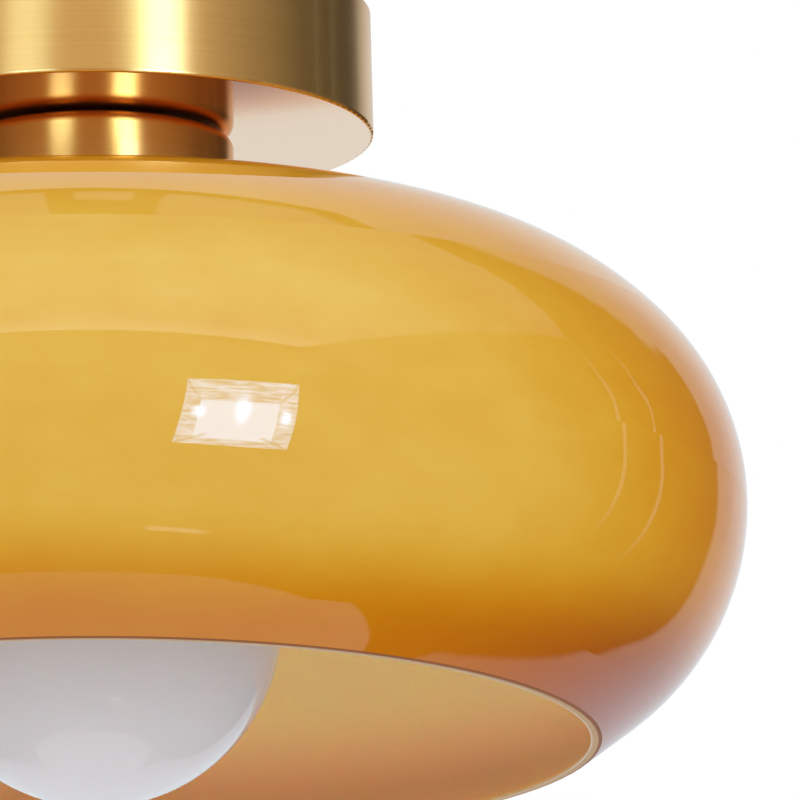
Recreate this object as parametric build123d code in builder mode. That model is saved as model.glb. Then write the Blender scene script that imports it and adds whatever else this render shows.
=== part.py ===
from build123d import *
from math import cos, radians, sin, sqrt
import os

# A flush mount ceiling light: a brass canopy, a short brass collar and an open amber glass shade
# round a globe bulb. Millimetres, with the ceiling as the plane Z = 0 and the light below it.

# Canopy
canopy_diameter = 120
canopy_height = 27
canopy_wall = 1
canopy_draft = 0.6
canopy_edge_radius = 0.7

# Collar between the canopy and the shade
collar_diameter = 59.6
collar_height = 16.9
collar_wall = 1.2
collar_edge_radius = 2.5

# Glass shade, from the flat seat under the collar down to the open mouth
shade_diameter = 280
mouth_diameter = 216
glass_thickness = 2.4
seat_diameter = 64
shade_hole_diameter = 42
shoulder_radius = 73.8
side_radius = 52.2
belly_radius = 54.2
crown_turn = 13
shoulder_turn = 34.2
belly_turn = 52.9
mouth_rim_width = 2.3
mouth_edge_break = 0.4

# Fixings on the centre line
nipple_diameter = 9.9
nipple_bore = 7
nipple_above_nut = 2.2
nipple_below_cap = 1
hole_clearance = 0.15
slide_clearance = 0.1
nut_across_flats = 14
nut_height = 3
lock_washer_diameter = 18
lock_washer_thickness = 0.8
spacer_diameter = 28
spacer_thickness = 0.6

# Mounting bracket
bracket_gap = 1.9
bracket_width = 16
bracket_centre_diameter = 38
bracket_thickness = 2
bracket_bend_radius = 1
bracket_tab_drop = 18
slot_spacing = 76
slot_length = 14
slot_width = 5.2
cable_hole_diameter = 13

# Screws through the side of the canopy
side_screw_diameter = 4
side_screw_drop = 12
side_screw_length = 10
side_screw_head_diameter = 9
side_screw_head_length = 5
side_screw_play = 0.2
screw_seat_gap = 0.1

# Terminal block under the bracket
block_offset = 17.5
block_depth = 16
block_base_height = 6
block_height = 12
pole_pitch = 9.3
pole_width = 7.2
barrel_side = 4.4
barrel_bore = 2.8
barrel_drop = 7
barrel_inset = 1
terminal_screw_spacing = 8
terminal_screw_diameter = 2.6
terminal_screw_recess = 1
block_screw_diameter = 2.6
block_screw_head = 4.6
block_screw_head_height = 1.4

# Earth screw on the bracket
earth_offset = 15.5
earth_screw_diameter = 4
earth_head_diameter = 7.6
earth_head_height = 2.4
earth_head_edge_break = 0.8
earth_tag_thickness = 0.8
earth_tag_diameter = 7
earth_tag_width = 3

# Leads inside
lead_diameter = 2
lead_grip = 4
lead_clearance = 0.1
lead_turn_x = 2
lead_slack = 1
lead_above_nipple = 4
lead_below_nipple = 0.5
lead_above_post = 2.4
supply_lead_radii = (3.5, 6, 4, 3)
earth_lead_bend_x = -8
earth_lead_bend_y = 3
earth_lead_reach = 3
earth_lead_radii = (8, 8)

# Lampholder
holder_cap_diameter = 41
holder_cap_height = 12.4
holder_cap_wall = 1.8
holder_cap_slope = 4
skirt_diameter = 39.5
skirt_length = 41
skirt_bore = 30.4
skirt_edge_break = 1
core_pocket_diameter = 33.4
core_pocket_depth = 8
core_diameter = 33
core_thickness = 4
boss_diameter = 20
boss_height = 3.3
post_offset = 8.6
post_width = 6
post_height = 4.4
post_floor = 0.8
post_screw_diameter = 2.4
post_screw_stand = 1
shell_bore = 26.9
shell_wall = 0.4
shell_length = 24
contact_strip_width = 5
contact_strip_thickness = 0.4
contact_strip_inset = 1
contact_tongue_length = 6.4
contact_drop = 1.8

# Ring and gaskets that hold the shade
ring_diameter = 57
ring_flange_thickness = 2.4
ring_hub_diameter = 47
ring_height = 9
ring_grip_count = 12
ring_grip_width = 2.4
ring_grip_stand = 2.4
thread_clearance = 0.3
gasket_thickness = 1
gasket_width = 3.6
lower_gasket_diameter = 54

# Bulb
bulb_length = 116
globe_diameter = 80
globe_wall = 1.2
bulb_clearance = 0.3
neck_diameter = 28.6
neck_blend_radius = 15
bulb_cap_diameter = 26.1
bulb_cap_wall = 0.4
bulb_cap_length = 27
tip_diameter = 9.6
tip_height = 1
insulator_height = 4.2
stem_diameter = 9
stem_length = 22
filament_count = 4
filament_length = 36
filament_diameter = 2
filament_circle = 13

# Levels worked out downwards from the ceiling
canopy_radius = canopy_diameter / 2
canopy_top_radius = canopy_radius - canopy_draft
canopy_floor = -canopy_height + canopy_wall
collar_top = -canopy_height - spacer_thickness
collar_bottom = collar_top - collar_height
seat_level = collar_bottom - gasket_thickness
holder_top = collar_top - collar_wall - nut_height
skirt_top = holder_top - holder_cap_height
skirt_bottom = skirt_top - skirt_length
core_bottom = skirt_top - core_pocket_depth
core_top = core_bottom + core_thickness
boss_bottom = core_bottom - boss_height
tip_level = boss_bottom - contact_drop - bulb_clearance
nipple_top = canopy_floor + lock_washer_thickness + nut_height + nipple_above_nut
nipple_bottom = holder_top - holder_cap_wall - nipple_below_cap
centre_hole_radius = nipple_diameter / 2 + hole_clearance
wall_slope = canopy_draft / canopy_height
screw_wall_radius = canopy_top_radius + wall_slope * side_screw_drop


def finish(part, name):
    part.label = name
    export_step(part, f"parts/{name}.step")


os.makedirs("parts", exist_ok=True)

# Canopy: a drawn cup with a slight draft, a polished flat bottom and a small rounded edge
with BuildPart() as canopy:
    with BuildSketch(Plane.XZ):
        with BuildLine():
            Polyline(
                (canopy_top_radius, 0),
                (canopy_radius, -canopy_height),
                (centre_hole_radius, -canopy_height),
                (centre_hole_radius, canopy_floor),
                (canopy_radius - canopy_wall, canopy_floor),
                (canopy_top_radius - canopy_wall, 0),
                close=True,
            )
        make_face()
    revolve(axis=Axis.Z)
    bottom_edge = canopy.edges().filter_by(GeomType.CIRCLE).sort_by(SortBy.RADIUS)[-1]
    fillet(bottom_edge, canopy_edge_radius)
    with BuildSketch(Plane.YZ):
        with Locations((0, -side_screw_drop)):
            Circle(side_screw_diameter / 2 + side_screw_play)
    extrude(amount=canopy_radius, both=True, mode=Mode.SUBTRACT)
finish(canopy.part, "canopy")

# Bracket: a pressed strip, wide in the middle, with its two ends bent down to take the side screws
half_bracket = canopy_top_radius - canopy_wall - bracket_gap
with BuildPart() as bracket:
    with BuildSketch(Plane.XZ) as strip:
        with BuildLine():
            Polyline(
                (-half_bracket, -bracket_tab_drop),
                (-half_bracket, 0),
                (half_bracket, 0),
                (half_bracket, -bracket_tab_drop),
                (half_bracket - bracket_thickness, -bracket_tab_drop),
                (half_bracket - bracket_thickness, -bracket_thickness),
                (-half_bracket + bracket_thickness, -bracket_thickness),
                (-half_bracket + bracket_thickness, -bracket_tab_drop),
                close=True,
            )
        make_face()
        fillet(strip.vertices().group_by(Axis.Y)[-1], bracket_bend_radius + bracket_thickness)
        fillet(strip.vertices().group_by(Axis.Y)[-2], bracket_bend_radius)
    extrude(amount=bracket_centre_diameter / 2, both=True)
    with BuildSketch():
        Rectangle(2 * half_bracket, bracket_width)
        Circle(bracket_centre_diameter / 2)
    extrude(amount=-bracket_tab_drop, mode=Mode.INTERSECT)
    with BuildSketch():
        with Locations((-slot_spacing / 2, 0), (slot_spacing / 2, 0)):
            SlotOverall(slot_length, slot_width)
        Circle(cable_hole_diameter / 2)
        with Locations((-earth_offset, 0)):
            Circle(earth_screw_diameter / 2)
        with Locations((block_offset, pole_pitch / 2)):
            Circle(block_screw_diameter / 2 - hole_clearance / 2)
    extrude(amount=-bracket_thickness, mode=Mode.SUBTRACT)
    with BuildSketch(Plane.YZ):
        with Locations((0, -side_screw_drop)):
            Circle(side_screw_diameter / 2)
    extrude(amount=half_bracket, both=True, mode=Mode.SUBTRACT)
finish(bracket.part, "mounting_bracket")

# Side screws: one each side, with a round head outside the canopy and a shank in the bracket's tab
head_seat = screw_wall_radius + screw_seat_gap
shank_radius = side_screw_diameter / 2 - hole_clearance
with BuildPart() as side_screws:
    for side in (0, 180):
        with BuildSketch(Plane.XZ.rotated((0, 0, side))):
            with BuildLine():
                Polyline(
                    (head_seat - side_screw_length, -side_screw_drop),
                    (head_seat + side_screw_head_length, -side_screw_drop),
                    (head_seat + side_screw_head_length, -side_screw_drop + side_screw_head_diameter / 2),
                    (head_seat, -side_screw_drop + side_screw_head_diameter / 2),
                    (head_seat, -side_screw_drop + shank_radius),
                    (head_seat - side_screw_length, -side_screw_drop + shank_radius),
                    close=True,
                )
            make_face()
        revolve(axis=Axis((0, 0, -side_screw_drop), (1, 0, 0)))
finish(side_screws.part, "canopy_side_screws")

# Earth screw and its washer-like tag under the bracket
earth_tag_level = -bracket_thickness - earth_tag_thickness
with BuildPart() as earth_screw:
    with BuildSketch(Plane.XY.offset(earth_tag_level)):
        with Locations((-earth_offset, 0)):
            Circle(earth_head_diameter / 2)
    extrude(amount=-earth_head_height)
    chamfer(earth_screw.edges().group_by(Axis.Z)[0], earth_head_edge_break)
    with BuildSketch(Plane.XY.offset(earth_tag_level)):
        with Locations((-earth_offset, 0)):
            Circle(earth_screw_diameter / 2 - hole_clearance)
    extrude(amount=earth_tag_thickness + bracket_thickness - hole_clearance)
finish(earth_screw.part, "earth_screw")

tag_tail = earth_tag_diameter / 2 + lead_grip
with BuildPart() as earth_tag:
    with BuildSketch(Plane.XY.offset(earth_tag_level)):
        with Locations((-earth_offset, 0)):
            Circle(earth_tag_diameter / 2)
        with Locations((-earth_offset, tag_tail / 2)):
            Rectangle(earth_tag_width, tag_tail)
        with Locations((-earth_offset, 0)):
            Circle(earth_screw_diameter / 2 + hole_clearance, mode=Mode.SUBTRACT)
    extrude(amount=earth_tag_thickness)
finish(earth_tag.part, "earth_tag")

# Terminal block: three poles in a row along Y, hung under the bracket
pole_rows = (-pole_pitch, 0, pole_pitch)
screw_columns = (block_offset - terminal_screw_spacing / 2, block_offset + terminal_screw_spacing / 2)
pole_places = [(block_offset, y) for y in pole_rows]
screw_places = [(x, y) for x in screw_columns for y in pole_rows]
barrel_level = -bracket_thickness - barrel_drop
barrel_places = [(y, barrel_level) for y in pole_rows]
block_screw_place = (block_offset, pole_pitch / 2)
block_screw_seat = -bracket_thickness - block_base_height
block_bottom = -bracket_thickness - block_height
screw_bottom = block_bottom + terminal_screw_recess
terminal_screw_radius = terminal_screw_diameter / 2
with BuildPart() as block:
    with BuildSketch(Plane.XY.offset(-bracket_thickness)):
        with Locations((block_offset, 0)):
            Rectangle(block_depth, 2 * pole_pitch + pole_width)
    extrude(amount=-block_base_height)
    with BuildSketch(Plane.XY.offset(-bracket_thickness)):
        with Locations(*pole_places):
            Rectangle(block_depth, pole_width)
    extrude(amount=-block_height)
    with BuildSketch(Plane.YZ.offset(block_offset)):
        with Locations(*barrel_places):
            Rectangle(barrel_side, barrel_side)
    extrude(amount=block_depth / 2, both=True, mode=Mode.SUBTRACT)
    with BuildSketch(Plane.XY.offset(barrel_level)):
        with Locations(*screw_places):
            Circle(terminal_screw_radius + hole_clearance)
    extrude(amount=block_bottom - barrel_level, mode=Mode.SUBTRACT)
    with BuildSketch(Plane.XY.offset(-bracket_thickness)):
        with Locations(block_screw_place):
            Circle(block_screw_diameter / 2)
    extrude(amount=-block_base_height, mode=Mode.SUBTRACT)
    with BuildSketch(Plane.XY.offset(block_screw_seat)):
        with Locations(block_screw_place):
            Circle(block_screw_head / 2 + hole_clearance)
    extrude(amount=block_bottom - block_screw_seat, mode=Mode.SUBTRACT)
finish(block.part, "terminal_block")

with BuildPart() as barrels:
    with BuildSketch(Plane.YZ.offset(block_offset)):
        with Locations(*barrel_places):
            Rectangle(barrel_side - slide_clearance, barrel_side - slide_clearance)
            Circle(barrel_bore / 2, mode=Mode.SUBTRACT)
    extrude(amount=block_depth / 2 - barrel_inset, both=True)
    with BuildSketch(Plane.XY.offset(barrel_level)):
        with Locations(*screw_places):
            Circle(terminal_screw_radius)
    extrude(amount=-barrel_side / 2, mode=Mode.SUBTRACT)
finish(barrels.part, "terminal_barrels")

with BuildPart() as block_screws:
    with BuildSketch(Plane.XY.offset(screw_bottom)):
        with Locations(*screw_places):
            Circle(terminal_screw_radius - slide_clearance / 2)
    extrude(amount=barrel_level - lead_diameter / 2 - lead_clearance - screw_bottom)
finish(block_screws.part, "terminal_screws")

with BuildPart() as block_fixing:
    with BuildSketch(Plane.XY.offset(block_screw_seat)):
        with Locations(block_screw_place):
            Circle(block_screw_head / 2)
    extrude(amount=-block_screw_head_height)
    with BuildSketch(Plane.XY.offset(block_screw_seat)):
        with Locations(block_screw_place):
            Circle(block_screw_diameter / 2 - hole_clearance)
    extrude(amount=-block_screw_seat - hole_clearance)
finish(block_fixing.part, "terminal_block_screw")

# Hollow threaded nipple that joins the canopy, the collar and the lampholder
with BuildPart() as nipple:
    with BuildSketch(Plane.XY.offset(nipple_bottom)):
        Circle(nipple_diameter / 2)
        Circle(nipple_bore / 2, mode=Mode.SUBTRACT)
    extrude(amount=nipple_top - nipple_bottom)
finish(nipple.part, "threaded_nipple")


def ring_plate(top, height, outer, inner):
    with BuildPart() as plate:
        with BuildSketch(Plane.XY.offset(top)):
            Circle(outer)
            Circle(inner, mode=Mode.SUBTRACT)
        extrude(amount=-height)
    return plate.part


def hex_nut(top):
    with BuildPart() as nut:
        with BuildSketch(Plane.XY.offset(top)):
            RegularPolygon(nut_across_flats / 2, 6, major_radius=False)
            Circle(centre_hole_radius, mode=Mode.SUBTRACT)
        extrude(amount=-nut_height)
    return nut.part


washer_top = canopy_floor + lock_washer_thickness
lock_washer = ring_plate(washer_top, lock_washer_thickness, lock_washer_diameter / 2, centre_hole_radius)
finish(lock_washer, "lock_washer")
finish(hex_nut(washer_top + nut_height), "canopy_nut")
spacer = ring_plate(-canopy_height, spacer_thickness, spacer_diameter / 2, centre_hole_radius)
finish(spacer, "spacer_washer")
finish(hex_nut(collar_top - collar_wall), "collar_nut")

# Collar: an upside-down cup, rounded at its top edge, that sits on the glass
collar_radius = collar_diameter / 2
with BuildPart() as collar:
    with BuildSketch(Plane.XZ) as cup:
        with BuildLine():
            Polyline(
                (centre_hole_radius, collar_top),
                (collar_radius, collar_top),
                (collar_radius, collar_bottom),
                (collar_radius - collar_wall, collar_bottom),
                (collar_radius - collar_wall, collar_top - collar_wall),
                (centre_hole_radius, collar_top - collar_wall),
                close=True,
            )
        make_face()
        fillet(cup.vertices().group_by(Axis.Y)[-1].sort_by(Axis.X)[-1], collar_edge_radius)
        chamfer(cup.vertices().group_by(Axis.Y)[-2].sort_by(Axis.X)[-1], collar_edge_radius - collar_wall)
    revolve(axis=Axis.Z)
finish(collar.part, "collar")

# Lampholder cap: a low dome on the nipple
cap_radius = holder_cap_diameter / 2
with BuildPart() as holder_cap:
    with BuildSketch(Plane.XZ) as dome:
        with BuildLine():
            Polyline(
                (centre_hole_radius, holder_top),
                (cap_radius, holder_top),
                (cap_radius, skirt_top),
                (cap_radius - holder_cap_wall, skirt_top),
                (cap_radius - holder_cap_wall, holder_top - holder_cap_wall),
                (centre_hole_radius, holder_top - holder_cap_wall),
                close=True,
            )
        make_face()
        chamfer(dome.vertices().group_by(Axis.Y)[-1].sort_by(Axis.X)[-1], holder_cap_slope)
        inner_slope = holder_cap_slope - holder_cap_wall / 2
        chamfer(dome.vertices().group_by(Axis.Y)[-2].sort_by(Axis.X)[-1], inner_slope)
    revolve(axis=Axis.Z)
finish(holder_cap.part, "holder_cap")

# Lampholder skirt: a tube with a pocket on top for the core
skirt_radius = skirt_diameter / 2
with BuildPart() as skirt:
    with BuildSketch(Plane.XZ):
        with BuildLine():
            Polyline(
                (core_pocket_diameter / 2, skirt_top),
                (skirt_radius, skirt_top),
                (skirt_radius, skirt_bottom),
                (skirt_bore / 2, skirt_bottom),
                (skirt_bore / 2, core_bottom),
                (core_pocket_diameter / 2, core_bottom),
                close=True,
            )
        make_face()
    revolve(axis=Axis.Z)
    chamfer(skirt.edges().group_by(Axis.Z)[0], skirt_edge_break)
finish(skirt.part, "holder_skirt")

# Core: a moulded disc with a boss under it, which carries every live piece
with BuildPart() as core:
    with BuildSketch(Plane.XY.offset(core_bottom)):
        Circle(core_diameter / 2)
    extrude(amount=core_thickness)
    with BuildSketch(Plane.XY.offset(core_bottom)):
        Circle(boss_diameter / 2)
    extrude(amount=-boss_height)
finish(core.part, "holder_core")

# Two brass posts on the core, each with a wire hole from above and a clamp screw from outside
post_top = core_top + post_height
post_places = [(0, -post_offset), (0, post_offset)]
post_screw_level = core_top + post_height / 2
post_screw_radius = post_screw_diameter / 2
with BuildPart() as posts:
    with BuildSketch(Plane.XY.offset(core_top)):
        with Locations(*post_places):
            Rectangle(post_width, post_width)
    extrude(amount=post_height)
    with BuildSketch(Plane.XY.offset(post_top)):
        with Locations(*post_places):
            Circle(lead_diameter / 2 + lead_clearance)
    extrude(amount=post_floor - post_height, mode=Mode.SUBTRACT)
    with BuildSketch(Plane.XZ):
        with Locations((0, post_screw_level)):
            Circle(post_screw_radius)
    extrude(amount=post_offset + post_width, both=True, mode=Mode.SUBTRACT)
finish(posts.part, "holder_terminals")

lead_side = post_offset + lead_diameter / 2 + lead_clearance
post_face = post_offset + post_width / 2
with BuildPart() as post_screws:
    for side in (-1, 1):
        with BuildSketch(Plane.XZ.offset(-side * lead_side)):
            with Locations((0, post_screw_level)):
                Circle(post_screw_radius - slide_clearance / 2)
        extrude(amount=-side * (post_face - lead_side + post_screw_stand))
finish(post_screws.part, "holder_terminal_screws")

# Screw shell and the bent strip of the centre contact
shell_radius = shell_bore / 2 + shell_wall
with BuildPart() as shell:
    with BuildSketch(Plane.XZ):
        with BuildLine():
            Polyline(
                (boss_diameter / 2 + hole_clearance, core_bottom),
                (shell_radius, core_bottom),
                (shell_radius, core_bottom - shell_length),
                (shell_bore / 2, core_bottom - shell_length),
                (shell_bore / 2, core_bottom - shell_wall),
                (boss_diameter / 2 + hole_clearance, core_bottom - shell_wall),
                close=True,
            )
        make_face()
    revolve(axis=Axis.Z)
finish(shell.part, "holder_screw_shell")

strip_base = boss_diameter / 2 - contact_strip_inset
tongue_half = contact_tongue_length / 2
with BuildPart() as contact:
    with BuildSketch(Plane.XZ):
        with BuildLine():
            Polyline(
                (-strip_base, boss_bottom),
                (-tongue_half - contact_drop, boss_bottom),
                (-tongue_half, boss_bottom - contact_drop + contact_strip_thickness),
                (tongue_half, boss_bottom - contact_drop + contact_strip_thickness),
                (tongue_half, boss_bottom - contact_drop),
                (-tongue_half - contact_strip_thickness, boss_bottom - contact_drop),
                (-tongue_half - contact_drop, boss_bottom - contact_strip_thickness),
                (-strip_base, boss_bottom - contact_strip_thickness),
                close=True,
            )
        make_face()
    extrude(amount=contact_strip_width / 2, both=True)
finish(contact.part, "holder_centre_contact")

# Gaskets each side of the glass
upper_gasket = ring_plate(collar_bottom, gasket_thickness, collar_radius, collar_radius - gasket_width)
finish(upper_gasket, "upper_gasket")
glass_underside = seat_level - glass_thickness
gasket_radius = lower_gasket_diameter / 2
lower_gasket = ring_plate(glass_underside, gasket_thickness, gasket_radius, gasket_radius - gasket_width)
finish(lower_gasket, "lower_gasket")

# Shade ring: a flange that carries the glass and a ribbed hub that runs on the skirt's thread
ring_top = glass_underside - gasket_thickness
ring_bore = skirt_radius + thread_clearance
hub_radius = ring_hub_diameter / 2
with BuildPart() as shade_ring:
    with BuildSketch(Plane.XY.offset(ring_top)):
        Circle(ring_diameter / 2)
    extrude(amount=-ring_flange_thickness)
    with BuildSketch(Plane.XY.offset(ring_top)):
        Circle(hub_radius)
        with PolarLocations(hub_radius, ring_grip_count):
            Rectangle(2 * ring_grip_stand, ring_grip_width)
    extrude(amount=-ring_height)
    with BuildSketch(Plane.XY.offset(ring_top)):
        Circle(ring_bore)
    extrude(amount=-ring_height, mode=Mode.SUBTRACT)
finish(shade_ring.part, "shade_ring")

# Glass shade: one wall between two runs of tangent arcs, open at the bottom, with a rim ground flat
equator_radius = shade_diameter / 2
seat_radius = seat_diameter / 2
upper_turn = crown_turn + shoulder_turn
side_turn = 90 - upper_turn
shoulder_reach = shoulder_radius * (sin(radians(upper_turn)) - sin(radians(crown_turn)))
side_reach = side_radius * (1 - sin(radians(upper_turn)))
crown_reach = equator_radius - seat_radius - shoulder_reach - side_reach
crown_radius = crown_reach / sin(radians(crown_turn))
belly_end = equator_radius - belly_radius * (1 - cos(radians(belly_turn)))
lip_length = (belly_end - mouth_diameter / 2) / sin(radians(belly_turn))


def shade_run(depth):
    # The run at a depth in the glass keeps the outer run's arc centres, so the wall is even down to the belly
    crown = JernArc((seat_radius, seat_level - depth), (1, 0), crown_radius - depth, -crown_turn)
    shoulder = JernArc(crown @ 1, crown % 1, shoulder_radius - depth, -shoulder_turn)
    side = JernArc(shoulder @ 1, shoulder % 1, side_radius - depth, -side_turn)
    return JernArc(side @ 1, side % 1, belly_radius - depth, -belly_turn)


with BuildPart() as shade:
    with BuildSketch(Plane.XZ) as wall:
        with BuildLine():
            outer_belly = shade_run(0)
            outer_lip = Line(outer_belly @ 1, outer_belly @ 1 + (outer_belly % 1) * lip_length)
            rim = Line(outer_lip @ 1, outer_lip @ 1 - (mouth_rim_width, 0))
            inner_belly = shade_run(glass_thickness)
            TangentArc(inner_belly @ 1, rim @ 1, tangent=inner_belly % 1)
            Polyline(
                (seat_radius, seat_level),
                (shade_hole_diameter / 2, seat_level),
                (shade_hole_diameter / 2, glass_underside),
                (seat_radius, glass_underside),
            )
        make_face()
        chamfer(wall.vertices().sort_by(Axis.Y)[:2], mouth_edge_break)
    revolve(axis=Axis.Z)
finish(shade.part, "glass_shade")

# Bulb: contact tip, insulator, screw cap, sealed globe, stem and filaments
insulator_top = tip_level - tip_height
cap_top = insulator_top - insulator_height
cap_end = tip_level - bulb_cap_length
bulb_cap_radius = bulb_cap_diameter / 2
with BuildPart() as tip:
    with BuildSketch(Plane.XY.offset(insulator_top)):
        Circle(tip_diameter / 2)
    extrude(amount=tip_height)
finish(tip.part, "bulb_contact")

with BuildPart() as insulator:
    with BuildSketch(Plane.XZ):
        with BuildLine():
            Polyline(
                (0, insulator_top),
                (tip_diameter / 2 + tip_height, insulator_top),
                (bulb_cap_radius - bulb_cap_wall, cap_top),
                (0, cap_top),
                close=True,
            )
        make_face()
    revolve(axis=Axis.Z)
finish(insulator.part, "bulb_insulator")

with BuildPart() as bulb_cap:
    with BuildSketch(Plane.XY.offset(cap_top)):
        Circle(bulb_cap_radius)
        Circle(bulb_cap_radius - bulb_cap_wall, mode=Mode.SUBTRACT)
    extrude(amount=cap_end - cap_top)
finish(bulb_cap.part, "bulb_screw_cap")

globe_radius = globe_diameter / 2
globe_centre = tip_level - bulb_length + globe_radius
neck_radius = neck_diameter / 2
blend_x = neck_radius + neck_blend_radius
blend_reach = globe_radius + neck_blend_radius
blend_z = globe_centre + sqrt(blend_reach**2 - blend_x**2)


def globe_run(depth):
    # The neck's side, a hollow blend and the ball, from the cap down to the bottom of the globe
    ball_radius = globe_radius - depth
    share = ball_radius / blend_reach
    meet = (blend_x * share, globe_centre + (blend_z - globe_centre) * share)
    neck = Line((neck_radius - depth, cap_end - depth), (neck_radius - depth, blend_z))
    blend = TangentArc(neck @ 1, meet, tangent=neck % 1)
    TangentArc(blend @ 1, (0, globe_centre - ball_radius), tangent=blend % 1)
    return neck @ 0


with BuildPart() as globe:
    with BuildSketch(Plane.XZ):
        with BuildLine():
            outside = globe_run(0)
            Line(outside, (0, cap_end))
            Line((0, cap_end), (0, globe_centre - globe_radius))
        make_face()
        with BuildLine():
            inside = globe_run(globe_wall)
            Line(inside, (0, cap_end - globe_wall))
            Line((0, cap_end - globe_wall), (0, globe_centre - globe_radius + globe_wall))
        make_face(mode=Mode.SUBTRACT)
    revolve(axis=Axis.Z)
finish(globe.part, "bulb_globe")

stem_top = cap_end - globe_wall
with BuildPart() as stem:
    with BuildSketch(Plane.XY.offset(stem_top)):
        Circle(stem_diameter / 2)
    extrude(amount=-stem_length)
finish(stem.part, "bulb_stem")

with BuildPart() as filaments:
    with BuildSketch(Plane.XY.offset(stem_top - stem_length)):
        with PolarLocations(filament_circle / 2 - filament_diameter, filament_count):
            Circle(filament_diameter / 2)
    extrude(amount=-filament_length)
finish(filaments.part, "bulb_filaments")

# Leads from the terminal block, through the nipple to the posts, and from the block to the earth tag
block_face = block_offset - block_depth / 2
lead_start = block_face + lead_grip
nipple_lane = nipple_bore / 4
slack_level = barrel_level - lead_slack


def lead(points, radii, name):
    with BuildPart() as wire:
        with BuildLine() as route:
            FilletPolyline(*points, radius=radii)
        with BuildSketch(Plane(origin=points[0], z_dir=route.line % 0)):
            Circle(lead_diameter / 2)
        sweep(path=route.line)
    finish(wire.part, name)


def supply_lead(side, name):
    points = [
        (lead_start, side * pole_pitch, barrel_level),
        (lead_turn_x, side * (pole_pitch - lead_slack), slack_level),
        (0, side * nipple_lane, nipple_top + lead_above_nipple),
        (0, side * nipple_lane, nipple_bottom - lead_below_nipple),
        (0, side * post_offset, post_top + lead_above_post),
        (0, side * post_offset, core_top + post_floor + lead_clearance),
    ]
    lead(points, supply_lead_radii, name)


supply_lead(1, "live_lead")
supply_lead(-1, "neutral_lead")
earth_points = [
    (lead_start, 0, barrel_level),
    (lead_turn_x, 0, slack_level),
    (earth_lead_bend_x, earth_lead_bend_y, barrel_level),
    (-earth_offset, tag_tail + earth_lead_reach, -bracket_thickness - earth_lead_reach),
]
lead(earth_points, earth_lead_radii, "earth_lead")
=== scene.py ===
from math import cos, radians, sin

import bpy
from mathutils import Matrix, Vector

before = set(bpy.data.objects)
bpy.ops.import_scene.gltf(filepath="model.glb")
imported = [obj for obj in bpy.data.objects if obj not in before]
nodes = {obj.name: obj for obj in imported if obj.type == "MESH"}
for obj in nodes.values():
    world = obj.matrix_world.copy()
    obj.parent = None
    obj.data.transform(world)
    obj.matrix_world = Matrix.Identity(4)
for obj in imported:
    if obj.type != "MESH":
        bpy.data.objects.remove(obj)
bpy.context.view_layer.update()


def span(low, high):
    """Two angles in degrees, as radians."""
    return radians(low), radians(high)


# Camera, as fitted to the rims and outlines in the photograph
CAMERA_AZIMUTH = radians(35)
CAMERA_PITCH = 0.2222
CAMERA_ROLL = -0.004
CAMERA_DISTANCE = 4.0
CAMERA_SIDE = 0.06546
CAMERA_HEIGHT = -0.98904
FOCAL_PIXELS = 19078.45
PICTURE_PIXELS = 800
SENSOR_MM = 36

AHEAD = Vector((sin(CAMERA_AZIMUTH), cos(CAMERA_AZIMUTH), 0))
SIDE = Vector((cos(CAMERA_AZIMUTH), -sin(CAMERA_AZIMUTH), 0))
UP = Vector((0, 0, 1))

# Studio, in metres and degrees: azimuth 0 is the camera's side, positive to its right
STUDIO_CENTRE = Vector((0, 0, -0.1))
SOFT_BOX_DISTANCE = 1.5
SOFT_BOX_WIDTH = 0.507
SOFT_BOX_HEIGHT = 0.67
SOFT_BOX_LEAN = 0.06
SOFT_BOX_ELEVATION = -7.7
SOFT_BOX_TINT = (0.33, 0.62, 1.0, 1.0)
SOFT_BOX_LIGHT = 1.2
BRASS_LAMP_WIDTH = 0.4
BRASS_LAMP_HEIGHT = 0.5
BRASS_LAMP_ELEVATION = 8
BRASS_LAMP_TINT = (0.28, 0.47, 1.0)
FLOOR_LEVEL = -1.3
FLOOR_REACH = 12
LIGHT_ALL_ROUND = 1.0
WHITE = (1, 1, 1, 1)
COOL_WHITE = (0.84, 0.93, 1.0, 1.0)
COOL_FROM = (-0.2, 0.3)

# What the studio shows in a mirror. Each fade has the span it runs through, then the levels at its two ends
NEAR_ZERO = 0.001
FRONT_FADE, FRONT_LEVELS = span(45, 95), (0.5, 0.17)
REAR_FADE, REAR_LEVELS = span(95, 112), (1.0, 0.5)
LOW_FADE, LOW_LEVELS = span(-65, -20), (0.6, 1.0)

# Ceiling and what is on it: measures across and back are for a ceiling one metre up
CEILING_SIDES, CEILING_SIDE_SOFT = (-1, 1.4), 0.06
CEILING_DEPTHS, CEILING_DEPTH_SOFT = (-1.76, 0.43), 0.015
CEILING_FADE, CEILING_LEVELS = (0.0, -1.3), (0.6, 1.3)
CEILING_END_FADE, CEILING_END_LEVELS = (-1.2, -1.75), (0.0, 1.1)
RAIL_LEVEL = 0.1
RAIL_SIDES, RAIL_SIDE_SOFT = (-0.07, 0.078), 0.004
RAIL_DEPTHS, RAIL_DEPTH_SOFT = (0.19, 0.32), 0.012
RAIL_BOXES, RAIL_BOX_HALF, RAIL_BOX_DEPTHS = (-0.05, 0.058), 0.018, (0.19, 0.46)

# Wall above the backdrop: where the ceiling ends, its lowest angle, its right edge and its fade to the sides
WALL_EDGE, WALL_FOOT, WALL_RIGHT_EDGE = (0.48, 0.50), span(27, 30), (0.95, 0.8)
WALL_FADE, WALL_LEVELS = (0.05, 0.5), (1.05, 0.62)

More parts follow.
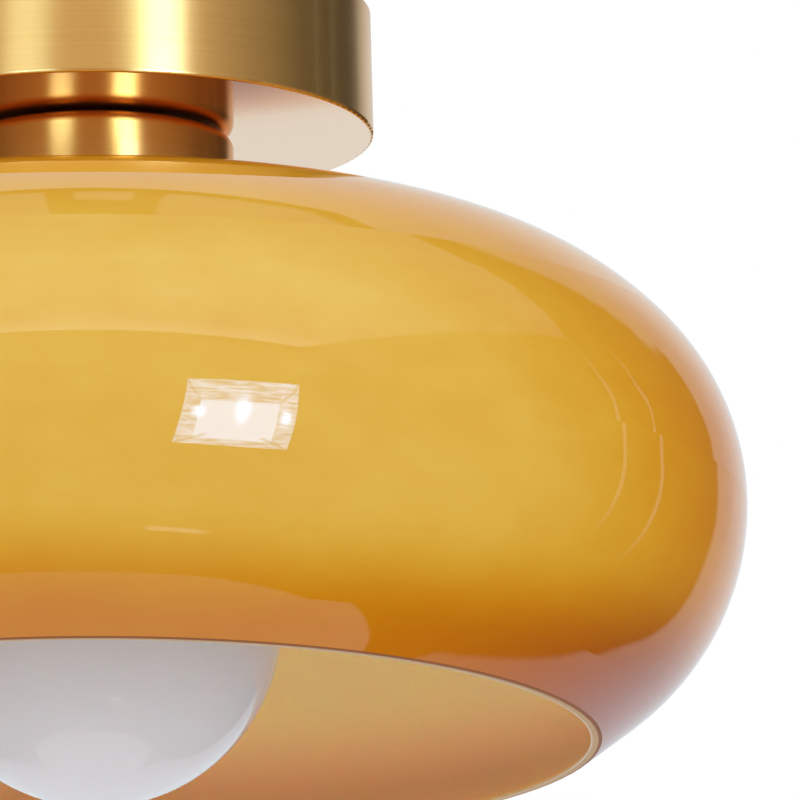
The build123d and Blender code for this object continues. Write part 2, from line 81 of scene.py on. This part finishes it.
# Backdrop: measures across and up are for a backdrop one metre away
BACKDROP_TOP_RISES, BACKDROP_TOP_REACH = (0.0, -0.35), (0.75, 0.65)
BACKDROP_FOOT_RISES, BACKDROP_FOOT_REACH = (-0.75, -1.4), (0.0, 0.1)
BACKDROP_EDGE = (0.03, -0.03)
BACKDROP_RISES, BACKDROP_RISE_SOFT = (-1.45, 0.85), 0.03
BACKDROP_FADE, BACKDROP_LEVELS = (0.75, 0.25), (0.62, 0.95)

# Table: measures across and back are for a table one metre down
TABLE_BACK, TABLE_SIDE = 0.35, -0.03
TABLE_EDGE, TABLE_LEVEL = (0.475, 0.462), 0.9

# Tubes at the right, by azimuth and level, and a bar in front, all in degrees
TUBES = ((107.0, 1.0), (118.7, 0.9))
TUBE_HALF_WIDTH, TUBE_SIDE_SOFT = 0.5, radians(0.3)
TUBE_ELEVATIONS, TUBE_END_SOFT = span(-14, 26), radians(10)
BAR_AZIMUTHS, BAR_END_SOFT = span(16, 32), radians(3)
BAR_ELEVATIONS, BAR_SIDE_SOFT = span(-61.2, -59.2), radians(0.5)
BAR_LEVEL = 2.2

# Soft box's face, as shares of its width and height
CLOTH_WIDE, CLOTH_SIDE_SOFT = (0.16, 0.86), 0.012
CLOTH_TALL, CLOTH_END_SOFT = (0.10, 0.72), 0.02
CLOTH_LEVEL = 0.5
HEM_FOLDS, HEM_SPAN, HEM_LEVELS = (4, 22, 0), (0.35, 0.65), (0.13, 0.42)
LINE_WIDE, LINE_SIDE_SOFT = (0.15, 0.87), 0.006
LINE_TALL, LINE_END_SOFT = (0.09, 0.73), 0.008
LINE_LOSS = -0.25
# Each bright spot: where it is, how wide and tall, and what it adds
SPOTS = ((0.48, 0.62, 0.10, 0.36, 0.45), (0.86, 0.53, 0.09, 0.15, 0.5), (0.09, 0.50, 0.08, 0.17, 0.6))
# Each corner's seam: its corner, and how steeply it leaves it
SEAMS = ((0, 1, 1.75), (1, 1, -2.0), (0, 0, -0.62), (1, 0, 0.71))
SEAM_EDGE, SEAM_END, SEAM_LOSS = (0.03, 0.008), (0.33, 0.28), -0.5

# Most of a noise lies within this span, and a plain material's roughness varies between these shares of it
NOISE_SPAN = (0.3, 0.7)
MOTTLE_ROUGH = (0.9, 1.1)
METAL = 1.0

# Brass: how far its streaks are drawn out, and how lacquer and polish go on it
FINE_STREAKS, WIDE_STREAKS, FINE_SHARE = (9, 9, 3600), (4, 4, 700), 0.8
BLOTCH_SCALE = 28.0
BRUSHED_ROUGH, STREAK_ROUGH, POLISHED_ROUGH = (0.29, 0.33), 0.04, 0.07
BRUSH_TURN, BRUSH_DRAW, BRUSH_BUMP = 0.25, 0.85, 0.04
POLISHED_BRASS = (244, 176, 70)
FACES_DOWN = (-0.75, -0.95)
THIN_LACQUER, LACQUER_ROUGH = 0.12, 0.1
COLLAR_LACQUER_IOR, CANOPY_LACQUER_IOR = 2.0, 3.0

# Glass shade, in metres: its middle, the height of its ground rim, and the rim's two edges
SHADE_MIDDLE = (0, 0, -0.109)
RIM_LEVEL = -0.1600
RIM_INNER_EDGE = 0.10615
RIM_OUTER_EDGE = 0.10778
RIM_INNER_SOFT, RIM_OUTER_SOFT = 0.0001, 0.0002
# Where the outside's last stretch begins, how fast it falls along the wall, and the radius it curves at
LIP_LEVEL = -0.1524
LIP_SLOPE = 0.612
LIP_RADIUS = 0.110
# The share of red, green and blue that comes back through one thickness of the amber layer
AMBER = (0.785, 0.452, 0.052)
# How many thicknesses it is, by height, by radius, near the mouth, by slant and by cloud
BELLY_LEVELS, BELLY_PATHS = (-0.066, -0.100), (0.55, 0.97)
CROWN_RADII, CROWN_PATHS = (0.074, 0.040), (0.0, 1.1)
MOUTH_LEVELS = (-0.1355, -0.159)
SLANTS, SLANT_PATHS = (0.25, 0.75), (0.0, 0.9)
LARGE_CLOUDS, SMALL_CLOUDS = (9, 9, 26), (50, 50, 90)
CLOUD_SPAN, CLOUD_PATHS = (0.7, 1.3), (-0.09, 0.09)
# Painted shade near the mouth: the heights and slants it runs through, and how much darker it makes the glass
PAINTED_SHADE_LEVELS, PAINTED_SHADE_SLANTS, PAINTED_SHADE_SHARES = (-0.13, -0.152), (0.3, 0.8), (0.0, 0.32)
# Inside: the inner layer's peach, painted lighter towards the top as painted light coming through the glass,
# and darker towards the mouth as painted shade
INSIDE_GLOW_LEVELS, INSIDE_TOP_PEACH_AND_GLOW, INSIDE_MOUTH_PEACH_AND_SHADE = (-0.125, -0.158), (255, 230, 194), (206, 182, 136)
MATTE_SCALE, MATTE_ROUGH, GLOSSY_ROUGH = 300.0, (0.5, 0.6), 0.02
GROUND_DARK, GROUND_LIGHT, GROUND_SCALE = (188, 148, 102), (202, 164, 118), 900.0
GROUND_FADE, GROUND_ROUGH = (0.0, 0.2), (0.2, 0.6)
OUTER_EDGE_TINT, INNER_EDGE_TINT = (150, 82, 22), (214, 184, 146)
FROST_SCALE, FROST_BUMP = 1500.0, 0.15
GLASS_IOR = 1.5
MILKY_DEPTH, MILKY_SPREAD = 0.008, (1.0, 0.45, 0.2)

# Opal glass of the bulb
OPAL_TINTS, OPAL_SCALE, OPAL_ROUGH = ((224, 216, 219), (228, 220, 223)), 24.0, (0.03, 0.05)
OPAL_MILK, OPAL_DEPTH = 0.2, 0.006


def toward(azimuth, elevation):
    """Direction from the light fitting into the studio."""
    a, e = radians(azimuth), radians(elevation)
    return (-AHEAD * cos(a) + SIDE * sin(a)) * cos(e) + UP * sin(e)


def link(obj):
    bpy.context.scene.collection.objects.link(obj)
    return obj


def make_camera():
    data = bpy.data.cameras.new("camera")
    data.sensor_width = SENSOR_MM
    data.lens = SENSOR_MM * FOCAL_PIXELS / PICTURE_PIXELS
    camera = link(bpy.data.objects.new("camera", data))
    ahead = AHEAD * cos(CAMERA_PITCH) + UP * sin(CAMERA_PITCH)
    up = UP * cos(CAMERA_PITCH) - AHEAD * sin(CAMERA_PITCH)
    right = SIDE * cos(CAMERA_ROLL) + up * sin(CAMERA_ROLL)
    up = up * cos(CAMERA_ROLL) - SIDE * sin(CAMERA_ROLL)
    place = -AHEAD * CAMERA_DISTANCE + SIDE * CAMERA_SIDE + UP * CAMERA_HEIGHT
    turn = Matrix((right, up, -ahead)).transposed().to_4x4()
    camera.matrix_world = Matrix.Translation(place) @ turn
    bpy.context.scene.camera = camera


class Tree:
    """A material's or the world's nodes, with short calls to add and join them."""

    def __init__(self, owner):
        owner.use_nodes = True
        self.tree = owner.node_tree
        self.tree.nodes.clear()

    def add(self, kind, inputs=None, **settings):
        node = self.tree.nodes.new(kind)
        for name, value in settings.items():
            setattr(node, name, value)
        for name, value in (inputs or {}).items():
            if isinstance(value, bpy.types.NodeSocket):
                self.tree.links.new(value, node.inputs[name])
            else:
                node.inputs[name].default_value = value
        return node

    def math(self, operation, a, b=0.0):
        return self.add("ShaderNodeMath", {0: a, 1: b}, operation=operation).outputs[0]

    def plus(self, a, b):
        return self.math("ADD", a, b)

    def times(self, a, b):
        return self.math("MULTIPLY", a, b)

    def less(self, mask):
        """What a mask leaves: 1 where it is 0, and 0 where it is 1."""
        return self.plus(1.0, self.times(mask, -1.0))

    def ramp(self, value, ends, levels=(0.0, 1.0), kind="SMOOTHSTEP"):
        """Goes from the first level to the second while the value goes through the span between the ends."""
        node = self.add("ShaderNodeMapRange", {
            "Value": value, "From Min": ends[0], "From Max": ends[1],
            "To Min": levels[0], "To Max": levels[1],
        }, interpolation_type=kind)
        return node.outputs[0]

    def within(self, value, ends, soft):
        """1 where the value lies between the ends, 0 elsewhere, with soft ends."""
        low, high = ends
        above = self.ramp(value, (low - soft, low + soft))
        below = self.ramp(value, (high - soft, high + soft), (1.0, 0.0))
        return self.times(above, below)

    def lay(self, under, over, where):
        """One number over another, where the mask is 1."""
        return self.add("ShaderNodeMix", {0: where, 2: under, 3: over}).outputs[0]

    def mix(self, factor, a, b):
        return self.add("ShaderNodeMix", {0: factor, 6: a, 7: b}, data_type="RGBA").outputs[2]

    def vector(self, operation, a, b=(0, 0, 0), output=0):
        return self.add("ShaderNodeVectorMath", {0: a, 1: b}, operation=operation).outputs[output]

    def dot(self, a, b):
        return self.vector("DOT_PRODUCT", a, tuple(b), "Value")

    def split(self, vector):
        return self.add("ShaderNodeSeparateXYZ", {0: vector}).outputs

    def noise(self, vector, scale=1.0, detail=2.0, roughness=0.5):
        node = self.add("ShaderNodeTexNoise", {
            "Vector": vector, "Scale": scale, "Detail": detail, "Roughness": roughness,
        })
        return node.outputs["Fac"]

    def place(self, output="Object"):
        return self.add("ShaderNodeTexCoord").outputs[output]

    def stretched(self, x, y, z):
        """Object coordinates, scaled apart, for streaks along a direction."""
        return self.vector("MULTIPLY", self.place(), (x, y, z))

    def bump(self, height, strength, distance=0.0002, **more):
        inputs = {"Height": height, "Strength": strength, "Distance": distance}
        inputs.update(more)
        return self.add("ShaderNodeBump", inputs).outputs[0]

    def principled(self, **inputs):
        names = {key.replace("_", " "): value for key, value in inputs.items()}
        return self.add("ShaderNodeBsdfPrincipled", names).outputs[0]

    def surface(self, shader, kind="ShaderNodeOutputMaterial"):
        self.add(kind, {"Surface": shader})


def colour(red, green, blue):
    """A colour as it is seen in a picture, 0 to 255, as the linear values that Blender works in."""
    def linear(value):
        value /= 255
        return value / 12.92 if value <= 0.04045 else ((value + 0.055) / 1.055) ** 2.4
    return (linear(red), linear(green), linear(blue), 1.0)


def studio_level(t):
    """How bright the studio looks in a mirror, by direction: a backdrop, a lit ceiling and dark sides."""
    look = t.place("Generated")
    back, side, up = t.dot(look, AHEAD), t.dot(look, SIDE), t.split(look)[2]
    off_side = t.math("ABSOLUTE", side)
    front = t.times(back, -1.0)
    turn = t.math("ARCTAN2", off_side, front)
    azimuth = t.math("ARCTAN2", side, front)
    elevation = t.math("ARCSINE", up)
    above = t.math("GREATER_THAN", up, 0.0)
    height = t.math("MAXIMUM", up, NEAR_ZERO)
    drop = t.math("MAXIMUM", t.times(up, -1.0), NEAR_ZERO)
    depth = t.math("MAXIMUM", back, NEAR_ZERO)

    # Front and sides, at eye level
    level = t.ramp(turn, FRONT_FADE, FRONT_LEVELS, "LINEAR")
    level = t.times(level, t.ramp(turn, REAR_FADE, REAR_LEVELS))
    level = t.times(level, t.ramp(elevation, LOW_FADE, LOW_LEVELS))

    # Ceiling over the light fitting, brightest at its front edge, and the wall above the backdrop
    ceiling_side = t.math("DIVIDE", off_side, height)
    ceiling_back = t.math("DIVIDE", back, height)
    ceiling = t.times(t.within(ceiling_side, CEILING_SIDES, CEILING_SIDE_SOFT),
                      t.within(ceiling_back, CEILING_DEPTHS, CEILING_DEPTH_SOFT))
    glow = t.plus(t.ramp(ceiling_back, CEILING_FADE, CEILING_LEVELS),
                  t.ramp(ceiling_back, CEILING_END_FADE, CEILING_END_LEVELS))
    level = t.lay(level, glow, t.times(ceiling, above))
    wall = t.times(t.ramp(ceiling_back, WALL_EDGE), t.ramp(elevation, WALL_FOOT))
    wall = t.times(wall, t.ramp(t.math("DIVIDE", side, depth), WALL_RIGHT_EDGE))
    level = t.lay(level, t.ramp(off_side, WALL_FADE, WALL_LEVELS), t.times(wall, above))

    # Dark rail on the ceiling, with a box at each end
    over_side = t.math("DIVIDE", side, height)
    rail = t.times(t.within(over_side, RAIL_SIDES, RAIL_SIDE_SOFT),
                   t.within(ceiling_back, RAIL_DEPTHS, RAIL_DEPTH_SOFT))
    for middle in RAIL_BOXES:
        box = t.within(over_side, (middle - RAIL_BOX_HALF, middle + RAIL_BOX_HALF), RAIL_SIDE_SOFT)
        box = t.times(box, t.within(ceiling_back, RAIL_BOX_DEPTHS, RAIL_DEPTH_SOFT))
        rail = t.math("MAXIMUM", rail, box)
    level = t.lay(level, RAIL_LEVEL, t.times(rail, above))

    # Backdrop straight behind, brighter towards its middle, wider where it comes forward along the floor
    across, rise = t.math("DIVIDE", off_side, depth), t.math("DIVIDE", up, depth)
    reach = t.plus(t.ramp(rise, BACKDROP_TOP_RISES, BACKDROP_TOP_REACH),
                   t.ramp(rise, BACKDROP_FOOT_RISES, BACKDROP_FOOT_REACH, "LINEAR"))
    backdrop = t.ramp(t.plus(across, t.times(reach, -1.0)), BACKDROP_EDGE)
    backdrop = t.times(backdrop, t.within(rise, BACKDROP_RISES, BACKDROP_RISE_SOFT))
    level = t.lay(level, t.ramp(across, BACKDROP_FADE, BACKDROP_LEVELS), backdrop)

    # Round pale table top below, a little behind
    table_back = t.plus(t.math("DIVIDE", back, drop), -TABLE_BACK)
    table_side = t.plus(t.math("DIVIDE", side, drop), -TABLE_SIDE)
    off_table = t.math("SQRT", t.plus(t.times(table_back, table_back), t.times(table_side, table_side)))
    level = t.lay(level, TABLE_LEVEL, t.times(t.ramp(off_table, TABLE_EDGE), t.math("LESS_THAN", up, 0.0)))

    # Two upright tubes at the right, and a low bar in front
    for middle, strength in TUBES:
        sides = span(middle - TUBE_HALF_WIDTH, middle + TUBE_HALF_WIDTH)
        tube = t.times(t.within(azimuth, sides, TUBE_SIDE_SOFT),
                       t.within(elevation, TUBE_ELEVATIONS, TUBE_END_SOFT))
        level = t.lay(level, strength, tube)
    bar = t.times(t.within(azimuth, BAR_AZIMUTHS, BAR_END_SOFT),
                  t.within(elevation, BAR_ELEVATIONS, BAR_SIDE_SOFT))
    return t.lay(level, BAR_LEVEL, bar)


def make_world():
    """White behind for the camera, the studio for mirror rays, and even light for everything else."""
    world = bpy.data.worlds.new("studio")
    bpy.context.scene.world = world
    t = Tree(world)
    path = t.add("ShaderNodeLightPath").outputs
    mirror = t.math("MAXIMUM", path["Is Glossy Ray"], path["Is Transmission Ray"])
    strength = t.lay(LIGHT_ALL_ROUND, studio_level(t), mirror)
    strength = t.lay(strength, 1.0, path["Is Camera Ray"])
    behind = t.ramp(t.dot(t.place("Generated"), AHEAD), COOL_FROM)
    tint = t.mix(t.times(mirror, behind), WHITE, COOL_WHITE)
    background = t.add("ShaderNodeBackground", {"Color": tint, "Strength": strength})
    t.surface(background.outputs[0], "ShaderNodeOutputWorld")


def soft_box_material(name, mirrored):
    """A soft box's cloth: a dimmer hem, bright spots from its bulbs and folds at its corners."""
    material = bpy.data.materials.new(name)
    t = Tree(material)
    place = t.place("UV")
    x, y = t.split(place)[:2]
    cloth = t.times(t.within(x, CLOTH_WIDE, CLOTH_SIDE_SOFT), t.within(y, CLOTH_TALL, CLOTH_END_SOFT))
    hem = t.noise(t.vector("MULTIPLY", place, HEM_FOLDS), detail=4.0, roughness=0.65)
    level = t.lay(t.ramp(hem, HEM_SPAN, HEM_LEVELS), CLOTH_LEVEL, cloth)
    for spot_x, spot_y, wide, tall, gain in SPOTS:
        off = t.vector("SUBTRACT", place, (spot_x, spot_y, 0))
        off = t.vector("MULTIPLY", off, (1 / wide, 1 / tall, 0))
        level = t.plus(level, t.ramp(t.vector("LENGTH", off, output="Value"), (1.0, 0.0), (0.0, gain)))
    for corner_x, corner_y, lean in SEAMS:
        seam = t.plus(t.plus(y, -corner_y), t.times(t.plus(x, -corner_x), lean))
        seam = t.ramp(t.math("ABSOLUTE", seam), SEAM_EDGE)
        near = t.ramp(t.vector("DISTANCE", place, (corner_x, corner_y, 0), "Value"), SEAM_END)
        level = t.times(level, t.plus(1.0, t.times(seam, t.times(near, SEAM_LOSS))))
    edge = t.times(t.within(x, LINE_WIDE, LINE_SIDE_SOFT), t.within(y, LINE_TALL, LINE_END_SOFT))
    line = t.times(edge, t.less(cloth))
    level = t.times(level, t.plus(1.0, t.times(line, LINE_LOSS)))
    glossy = t.add("ShaderNodeLightPath").outputs["Is Glossy Ray"]
    strength = t.lay(SOFT_BOX_LIGHT, t.times(level, mirrored), glossy)
    tint = t.mix(glossy, WHITE, SOFT_BOX_TINT)
    t.surface(t.add("ShaderNodeEmission", {"Color": tint, "Strength": strength}).outputs[0])
    return material


def make_soft_box(name, azimuth, mirrored):
    away = toward(azimuth, SOFT_BOX_ELEVATION)
    across = away.cross(UP).normalized()
    upward = across.cross(away).normalized()
    centre = STUDIO_CENTRE + away * SOFT_BOX_DISTANCE
    corners = [(-0.5, -0.5), (0.5, -0.5), (0.5, 0.5), (-0.5, 0.5)]
    points = [centre + across * (x - y * SOFT_BOX_LEAN) * SOFT_BOX_WIDTH + upward * y * SOFT_BOX_HEIGHT
              for x, y in corners]
    mesh = bpy.data.meshes.new(name)
    mesh.from_pydata(points, [], [(0, 1, 2, 3)])
    mesh.uv_layers.new()
    for loop, (x, y) in zip(mesh.uv_layers[0].data, corners):
        loop.uv = (x + 0.5, y + 0.5)
    mesh.materials.append(soft_box_material(name, mirrored))
    panel = link(bpy.data.objects.new(name, mesh))
    panel.visible_camera = False


def make_brass_lamp(name, azimuth, energy):
    """A soft lamp that only the brass takes, which draws the upright highlights on its brushed sides."""
    data = bpy.data.lights.new(name, "AREA")
    data.shape = "RECTANGLE"
    data.size, data.size_y = BRASS_LAMP_WIDTH, BRASS_LAMP_HEIGHT
    data.energy = energy
    data.color = BRASS_LAMP_TINT
    lamp = link(bpy.data.objects.new(name, data))
    away = toward(azimuth, BRASS_LAMP_ELEVATION)
    lamp.location = STUDIO_CENTRE + away * SOFT_BOX_DISTANCE
    lamp.rotation_euler = away.to_track_quat("Z", "Y").to_euler()
    lamp.light_linking.receiver_collection = brass_collection()


def brass_collection():
    """The canopy and the collar, as the lamps' list of what they light."""
    collection = bpy.data.collections.get("brass") or bpy.data.collections.new("brass")
    for name in ("canopy", "collar"):
        if name not in collection.objects:
            collection.objects.link(nodes[name])
    return collection


def make_floor():
    """A pale floor for the shadow, clear from below, and left out of mirrors, where the studio shows."""
    material = bpy.data.materials.new("pale_floor")
    t = Tree(material)
    shade = t.mix(t.noise(t.place(), scale=3.0), colour(236, 236, 236), colour(244, 244, 244))
    base = t.principled(Base_Color=shade, Roughness=0.7)
    clear = t.add("ShaderNodeBsdfTransparent").outputs[0]
    below = t.add("ShaderNodeNewGeometry").outputs["Backfacing"]
    t.surface(t.add("ShaderNodeMixShader", {0: below, 1: base, 2: clear}).outputs[0])
    mesh = bpy.data.meshes.new("floor")
    corners = [(-1, -1), (1, -1), (1, 1), (-1, 1)]
    points = [(x * FLOOR_REACH, y * FLOOR_REACH, FLOOR_LEVEL) for x, y in corners]
    mesh.from_pydata(points, [], [(0, 1, 2, 3)])
    mesh.materials.append(material)
    floor = link(bpy.data.objects.new("floor", mesh))
    floor.visible_glossy = False


def spun_brass(name, dark, light, polished=False):
    """Brass brushed round its axis. Where polished is set, faces that look down are lacquered and bright."""
    material = bpy.data.materials.new(name)
    t = Tree(material)
    streaks = t.noise(t.stretched(*FINE_STREAKS), detail=3.0, roughness=0.65)
    wide_streaks = t.noise(t.stretched(*WIDE_STREAKS))
    blotch = t.noise(t.place(), BLOTCH_SCALE)
    grain = t.plus(t.times(streaks, FINE_SHARE), t.times(wide_streaks, 1 - FINE_SHARE))
    base = t.mix(t.ramp(grain, NOISE_SPAN), colour(*dark), colour(*light))
    rough = t.plus(t.ramp(blotch, NOISE_SPAN, BRUSHED_ROUGH), t.times(grain, STREAK_ROUGH))
    height, lacquer, lacquer_ior = streaks, THIN_LACQUER, COLLAR_LACQUER_IOR
    if polished:
        down = t.ramp(t.split(t.place("Normal"))[2], FACES_DOWN)
        base = t.mix(down, base, colour(*POLISHED_BRASS))
        rough = t.lay(rough, POLISHED_ROUGH, down)
        height = t.times(streaks, t.less(down))
        lacquer, lacquer_ior = t.lay(THIN_LACQUER, 1.0, down), CANOPY_LACQUER_IOR
    around = t.add("ShaderNodeTangent", direction_type="RADIAL", axis="Z").outputs[0]
    t.surface(t.principled(
        Base_Color=base, Metallic=METAL, Roughness=rough, Normal=t.bump(height, BRUSH_BUMP), Tangent=around,
        Anisotropic=BRUSH_DRAW, Anisotropic_Rotation=BRUSH_TURN, Coat_Weight=lacquer, Coat_IOR=lacquer_ior,
        Coat_Roughness=LACQUER_ROUGH,
    ))
    return material


def plain(name, tint, other, metallic=0.0, rough=0.4, scale=60.0, bump=0.0, clear=0.0):
    """Two close tints in a fine mottle, with roughness that varies with it."""
    material = bpy.data.materials.new(name)
    t = Tree(material)
    grain = t.noise(t.place(), scale, detail=3.0, roughness=0.6)
    inputs = {"Transmission_Weight": clear, "Metallic": metallic}
    inputs["Base_Color"] = t.mix(grain, colour(*tint), colour(*other))
    inputs["Roughness"] = t.ramp(grain, NOISE_SPAN, [rough * share for share in MOTTLE_ROUGH])
    if bump:
        inputs["Normal"] = t.bump(grain, bump)
    t.surface(t.principled(**inputs))
    return material


def amber_glass():
    """Cased glass: an amber layer over white, glossy outside, matte inside, with a rim ground flat."""
    material = bpy.data.materials.new("amber_cased_glass")
    t = Tree(material)
    place = t.place()
    x, y, level = t.split(place)[:3]
    radius = t.math("SQRT", t.plus(t.times(x, x), t.times(y, y)))
    from_middle = t.vector("SUBTRACT", place, SHADE_MIDDLE)
    facing = t.add("ShaderNodeVectorMath", {0: from_middle, 1: t.place("Normal")},
                   operation="DOT_PRODUCT").outputs["Value"]
    outside = t.math("GREATER_THAN", facing, 0.0)
    on_rim = t.math("LESS_THAN", level, RIM_LEVEL)

    # The amber is paler up the belly, deeper near the hole and towards the mouth, cloudy and deeper at a
    # slant, and near the mouth at a slant it is painted darker, which is painted shade
    path = t.ramp(level, BELLY_LEVELS, BELLY_PATHS, "LINEAR")
    path = t.plus(path, t.ramp(radius, CROWN_RADII, CROWN_PATHS))
    path = t.plus(path, t.ramp(level, MOUTH_LEVELS))
    slant = t.add("ShaderNodeLayerWeight", {"Blend": 0.5}).outputs["Facing"]
    path = t.plus(path, t.ramp(slant, SLANTS, SLANT_PATHS, "LINEAR"))
    cloud = t.plus(t.noise(t.stretched(*LARGE_CLOUDS), detail=4.0, roughness=0.6),
                   t.noise(t.stretched(*SMALL_CLOUDS), detail=3.0, roughness=0.6))
    path = t.plus(path, t.ramp(cloud, CLOUD_SPAN, CLOUD_PATHS, "LINEAR"))
    # Painted shade: near the mouth, and more where it is seen at a slant, every channel is made darker and
    # the amber deeper
    painted_shade = t.times(t.ramp(level, PAINTED_SHADE_LEVELS), t.ramp(slant, PAINTED_SHADE_SLANTS, PAINTED_SHADE_SHARES))
    path = t.plus(path, painted_shade)
    channels = {channel: t.times(t.math("POWER", share, path), t.less(painted_shade))
                for channel, share in zip(("Red", "Green", "Blue"), AMBER)}
    amber = t.add("ShaderNodeCombineColor", channels).outputs[0]
    # The inside's peach, with painted light towards the top and painted shade towards the mouth
    inner = t.mix(t.ramp(level, INSIDE_GLOW_LEVELS), colour(*INSIDE_TOP_PEACH_AND_GLOW), colour(*INSIDE_MOUTH_PEACH_AND_SHADE))
    base = t.mix(outside, inner, amber)
    rough = t.lay(t.ramp(t.noise(place, MATTE_SCALE), NOISE_SPAN, MATTE_ROUGH), GLOSSY_ROUGH, outside)

    # Rim: a ground band between a pale inner edge and a deep orange outer edge
    band = t.ramp(radius, (RIM_INNER_EDGE, RIM_OUTER_EDGE))
    ground = t.mix(t.noise(place, GROUND_SCALE), colour(*GROUND_DARK), colour(*GROUND_LIGHT))
    outer_edge = t.ramp(radius, (RIM_OUTER_EDGE - RIM_OUTER_SOFT, RIM_OUTER_EDGE))
    inner_edge = t.ramp(radius, (RIM_INNER_EDGE, RIM_INNER_EDGE - RIM_INNER_SOFT))
    ground = t.mix(outer_edge, ground, colour(*OUTER_EDGE_TINT))
    ground = t.mix(inner_edge, ground, colour(*INNER_EDGE_TINT))
    base = t.mix(on_rim, base, ground)
    rough = t.lay(rough, t.ramp(band, GROUND_FADE, GROUND_ROUGH), on_rim)
    frost = t.bump(t.times(t.noise(place, FROST_SCALE), t.less(outside)), FROST_BUMP)

    # The last stretch of the wall outside is shaded by a bump as if it went on curving in towards the mouth
    down_lip = t.times(t.math("MAXIMUM", t.plus(t.times(level, -1.0), LIP_LEVEL), 0.0), 1 / LIP_SLOPE)
    fall = t.times(t.times(down_lip, down_lip), -0.5 / LIP_RADIUS)
    fall = t.times(fall, t.times(outside, t.less(on_rim)))
    curve = t.bump(fall, 1.0, distance=1.0, Normal=frost)
    inside = t.times(t.less(outside), t.less(on_rim))
    t.surface(t.principled(
        Base_Color=base, Roughness=rough, IOR=GLASS_IOR, Normal=curve, Subsurface_Weight=inside,
        Subsurface_Scale=MILKY_DEPTH, Subsurface_Radius=MILKY_SPREAD,
    ))
    return material


def opal_glass():
    """Opal white glass, glossy, with the faintest cloud in it."""
    material = bpy.data.materials.new("opal_white_glass")
    t = Tree(material)
    cloud = t.noise(t.place(), OPAL_SCALE)
    base = t.mix(cloud, *(colour(*tint) for tint in OPAL_TINTS))
    t.surface(t.principled(
        Base_Color=base, Roughness=t.ramp(cloud, NOISE_SPAN, OPAL_ROUGH), IOR=GLASS_IOR,
        Subsurface_Weight=OPAL_MILK, Subsurface_Scale=OPAL_DEPTH,
    ))
    return material


def dress(material, *names):
    """Gives CAD nodes a material in place of their own."""
    for name in names:
        mesh = nodes[name].data
        mesh.materials.clear()
        mesh.materials.append(material)


def make_materials():
    canopy_brass = spun_brass("brushed_brass_canopy", (232, 174, 90), (238, 182, 98), polished=True)
    dress(canopy_brass, "canopy")
    dress(spun_brass("brushed_brass_collar", (228, 158, 68), (236, 167, 77)), "collar")
    dress(amber_glass(), "glass_shade")
    dress(opal_glass(), "bulb_globe")

    steel = plain("zinc_plate", (190, 190, 186), (172, 173, 170), METAL, rough=0.3, scale=90.0, bump=0.05)
    dress(steel, "mounting_bracket", "terminal_screws", "terminal_block_screw", "threaded_nipple",
          "lock_washer", "holder_terminal_screws", "holder_screw_shell", "bulb_screw_cap")
    brass = plain("turned_brass", (214, 174, 96), (196, 156, 82), METAL, rough=0.28, scale=120.0)
    dress(brass, "earth_screw", "terminal_barrels", "canopy_nut", "collar_nut", "holder_terminals",
          "holder_centre_contact", "canopy_side_screws")
    tin = plain("tin", (176, 176, 172), (150, 150, 148), METAL, scale=150.0, bump=0.1)
    dress(tin, "earth_tag", "bulb_contact")

    black = plain("black_plastic", (22, 22, 23), (28, 28, 29), rough=0.32, scale=400.0, bump=0.05)
    dress(black, "holder_cap", "holder_skirt", "shade_ring")
    white = plain("white_plastic", (226, 226, 220), (214, 214, 208), rough=0.45, scale=200.0)
    dress(white, "terminal_block")
    ceramic = plain("ceramic", (228, 224, 214), (216, 211, 200), rough=0.5, scale=150.0, bump=0.1)
    dress(ceramic, "holder_core")
    rubber = plain("rubber", (30, 30, 31), (38, 38, 39), rough=0.8, scale=300.0, bump=0.1)
    dress(rubber, "spacer_washer")
    silicone = plain("silicone", (208, 206, 196), (196, 193, 182), rough=0.6, scale=200.0)
    dress(silicone, "upper_gasket", "lower_gasket")

    dress(plain("brown_sleeve", (84, 50, 28), (72, 42, 24), scale=200.0), "live_lead")
    dress(plain("blue_sleeve", (40, 92, 168), (32, 78, 150), scale=200.0), "neutral_lead")
    dress(plain("green_sleeve", (64, 140, 52), (196, 190, 40)), "earth_lead")

    dress(plain("black_glass", (20, 18, 24), (30, 26, 34), rough=0.1), "bulb_insulator")
    dress(plain("clear_glass", (220, 230, 228), (214, 226, 224), rough=0.03, clear=0.9), "bulb_stem")
    dress(plain("phosphor", (240, 196, 90), (228, 180, 72), rough=0.6, scale=500.0), "bulb_filaments")


make_camera()
make_world()
make_soft_box("soft_box_right", azimuth=24.9, mirrored=34.0)
make_soft_box("soft_box_left", azimuth=-27.0, mirrored=18.0)
make_brass_lamp("brass_lamp_right", azimuth=28.5, energy=9.0)
make_brass_lamp("brass_lamp_left", azimuth=-27.0, energy=1.2)
make_floor()
make_materials()

bpy.context.scene.view_settings.view_transform = "Standard"
